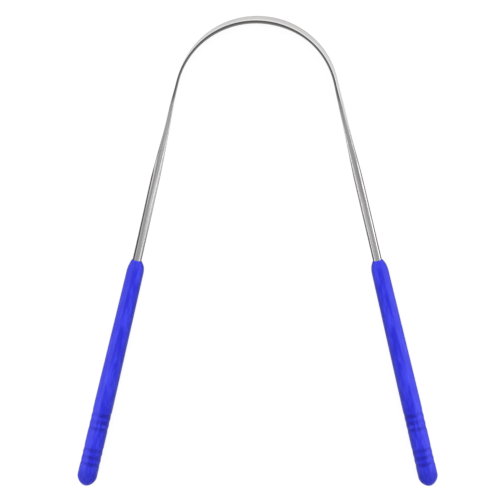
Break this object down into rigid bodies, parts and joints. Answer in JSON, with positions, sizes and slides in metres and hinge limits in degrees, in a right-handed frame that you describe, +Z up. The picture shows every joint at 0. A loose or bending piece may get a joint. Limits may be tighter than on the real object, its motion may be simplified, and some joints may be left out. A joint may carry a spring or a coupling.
{
  "type": "tongue scraper",
  "caption": "U-shaped tongue scraper: a springy steel wire, pressed flat round the arch for scraping, with a moulded blue grip on each end.",
  "frame": {"origin": "centre of the bounding box in X and Y, on the surface that the scraper lies on", "axes": "+Y from the grips towards the top of the arch, +X to the right arm's side, +Z up from the surface, out of the plane of the U"},
  "size_m": [0.109, 0.1448, 0.0059],
  "materials": {
    "spring_steel": "bright drawn and pressed stainless wire, polished along its length",
    "grip_plastic": "royal blue moulded plastic with a soft sheen and faint lengthwise streaks"
  },
  "bodies": {
    "band": {"scraping_band": "spring_steel"},
    "left_side": {"left_arm": "spring_steel", "left_grip": "grip_plastic"},
    "right_side": {"right_arm": "spring_steel", "right_grip": "grip_plastic"}
  },
  "joints": [
    {"name": "left_flex", "type": "hinge", "parent": "band", "child": "left_side", "pos_m": [-0.01555, 0.06628, 0.00295], "axis": [0, 0, 1], "range_deg": [-6, 14], "stiffness_Nm_per_rad": 2.9},
    {"name": "right_flex", "type": "hinge", "parent": "band", "child": "right_side", "pos_m": [0.01555, 0.06628, 0.00295], "axis": [0, 0, -1], "range_deg": [-6, 14], "stiffness_Nm_per_rad": 2.9}
  ]
}
